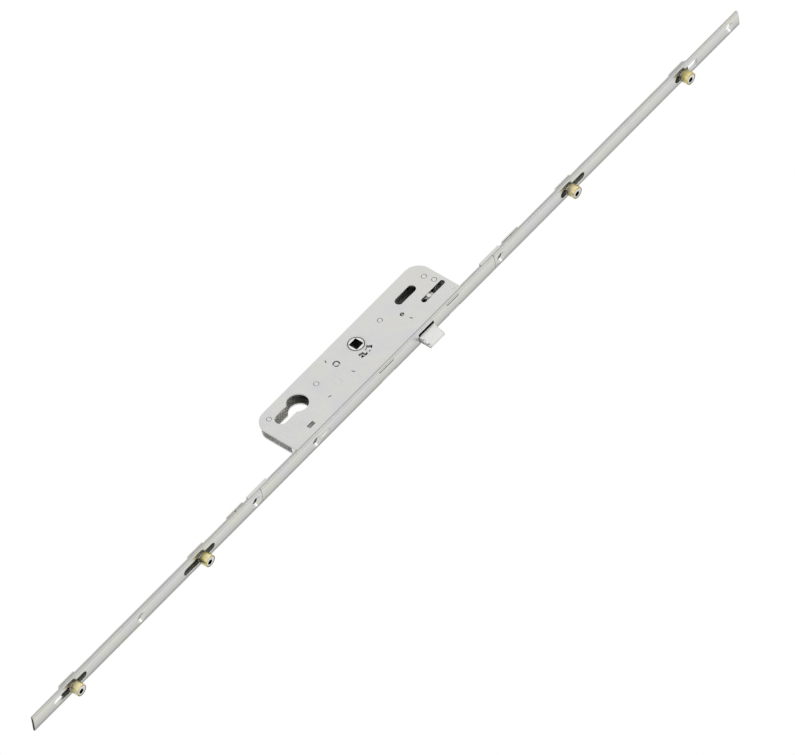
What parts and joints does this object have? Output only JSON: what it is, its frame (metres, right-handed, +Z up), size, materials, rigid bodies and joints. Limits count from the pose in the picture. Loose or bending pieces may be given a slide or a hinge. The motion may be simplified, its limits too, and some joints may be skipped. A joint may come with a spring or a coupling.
{
  "type": "multipoint door lock",
  "caption": "Long faceplate door lock: a gearbox case turned by the handle drives rods up and down behind the strip, moving eccentric roller cams, beside a sprung bevelled latch.",
  "frame": {"origin": "On the back of the faceplate, middle of its width, level with the spindle.", "axes": "+Z up along the strip, +X out of the faceplate in the direction of the latch, Y across the strip with the near case plate at -Y."},
  "size_m": [0.059, 0.016, 0.845],
  "materials": {
    "zinc_plated_steel": "bright zinc plated pressed steel",
    "drawn_steel": "zinc plated drawn steel",
    "cast_zinc": "cast zinc alloy, lightly blasted",
    "yellow_passivated_steel": "turned steel, yellow passivated zinc plate",
    "spring_steel": "oiled spring wire"
  },
  "bodies": {
    "root": {"centre_faceplate": "zinc_plated_steel", "upper_faceplate": "zinc_plated_steel", "lower_faceplate": "zinc_plated_steel", "case_cover": "zinc_plated_steel", "case_tray": "zinc_plated_steel", "case_rivet_1": "drawn_steel", "case_rivet_2": "drawn_steel", "case_rivet_3": "drawn_steel", "idler_axle": "drawn_steel", "latch_lever_pivot": "drawn_steel", "locking_lever_pivot": "drawn_steel", "near_hub_bush": "drawn_steel", "far_hub_bush": "drawn_steel", "upper_splice": "zinc_plated_steel", "lower_splice": "zinc_plated_steel", "latch_guide": "cast_zinc"},
    "hub": {"follower": "cast_zinc"},
    "idler": {"idler_gear": "cast_zinc"},
    "upper_slide": {"top_slide": "drawn_steel", "top_slide_pin": "drawn_steel", "upper_drive_rod": "drawn_steel", "upper_extension_rod": "drawn_steel", "upper_rod_coupler": "drawn_steel", "upper_outer_carrier": "drawn_steel", "upper_inner_carrier": "drawn_steel", "upper_outer_stud": "drawn_steel", "upper_inner_stud": "drawn_steel"},
    "lower_slide": {"bottom_slide": "drawn_steel", "lower_drive_rod": "drawn_steel", "lower_extension_rod": "drawn_steel", "lower_rod_coupler": "drawn_steel", "lower_outer_carrier": "drawn_steel", "lower_inner_carrier": "drawn_steel", "lower_outer_stud": "drawn_steel", "lower_inner_stud": "drawn_steel"},
    "latch": {"latch_bolt": "cast_zinc", "latch_spring": "spring_steel"},
    "latch_lever": {"latch_lever": "drawn_steel"},
    "locking_lever": {"locking_lever": "drawn_steel"},
    "upper_outer_roller": {"upper_outer_roller": "yellow_passivated_steel"},
    "upper_inner_roller": {"upper_inner_roller": "yellow_passivated_steel"},
    "lower_inner_roller": {"lower_inner_roller": "yellow_passivated_steel"},
    "lower_outer_roller": {"lower_outer_roller": "yellow_passivated_steel"}
  },
  "joints": [
    {"name": "rod_lift", "type": "slide", "parent": "root", "child": "upper_slide", "axis": [0, 0, 1], "range_m": [0, 0.0125]},
    {"name": "rod_drop", "type": "slide", "parent": "root", "child": "lower_slide", "axis": [0, 0, -1], "range_m": [0, 0.0125]},
    {"name": "hub_turn", "type": "hinge", "parent": "root", "child": "hub", "pos_m": [-0.0305, 0, 0], "axis": [0, -1, 0], "range_deg": [0, 57.3]},
    {"name": "idler_turn", "type": "hinge", "parent": "root", "child": "idler", "pos_m": [-0.0305, 0, -0.02375], "axis": [0, 1, 0], "range_deg": [0, 63.7]},
    {"name": "latch_draw", "type": "slide", "parent": "root", "child": "latch", "axis": [-1, 0, 0], "range_m": [0, 0.009], "stiffness_N_per_m": 250, "springref_m": -0.012, "deforming": ["latch_spring"]},
    {"name": "latch_lever_swing", "type": "hinge", "parent": "root", "child": "latch_lever", "pos_m": [-0.0305, 0, 0.0285], "axis": [0, -1, 0], "range_deg": [0, 38.5]},
    {"name": "locking_lever_swing", "type": "hinge", "parent": "root", "child": "locking_lever", "pos_m": [-0.0305, 0, -0.0476], "axis": [0, -1, 0], "range_deg": [0, 14]},
    {"name": "upper_outer_roll", "type": "hinge", "parent": "upper_slide", "child": "upper_outer_roller", "pos_m": [0.007, -0.0005, 0.3555], "axis": [1, 0, 0], "continuous": true},
    {"name": "upper_inner_roll", "type": "hinge", "parent": "upper_slide", "child": "upper_inner_roller", "pos_m": [0.007, -0.0005, 0.2165], "axis": [1, 0, 0], "continuous": true},
    {"name": "lower_inner_roll", "type": "hinge", "parent": "lower_slide", "child": "lower_inner_roller", "pos_m": [0.007, -0.0005, -0.2235], "axis": [1, 0, 0], "continuous": true},
    {"name": "lower_outer_roll", "type": "hinge", "parent": "lower_slide", "child": "lower_outer_roller", "pos_m": [0.007, -0.0005, -0.3745], "axis": [1, 0, 0], "continuous": true}
  ],
  "couplings": [
    {"joint": "rod_drop", "follows": "rod_lift", "ratio": 1},
    {"joint": "hub_turn", "follows": "rod_lift", "rad_per_m": 80},
    {"joint": "idler_turn", "follows": "rod_lift", "rad_per_m": 88.889},
    {"joint": "latch_lever_swing", "follows": "latch_draw", "rad_per_m": 72.1}
  ]
}
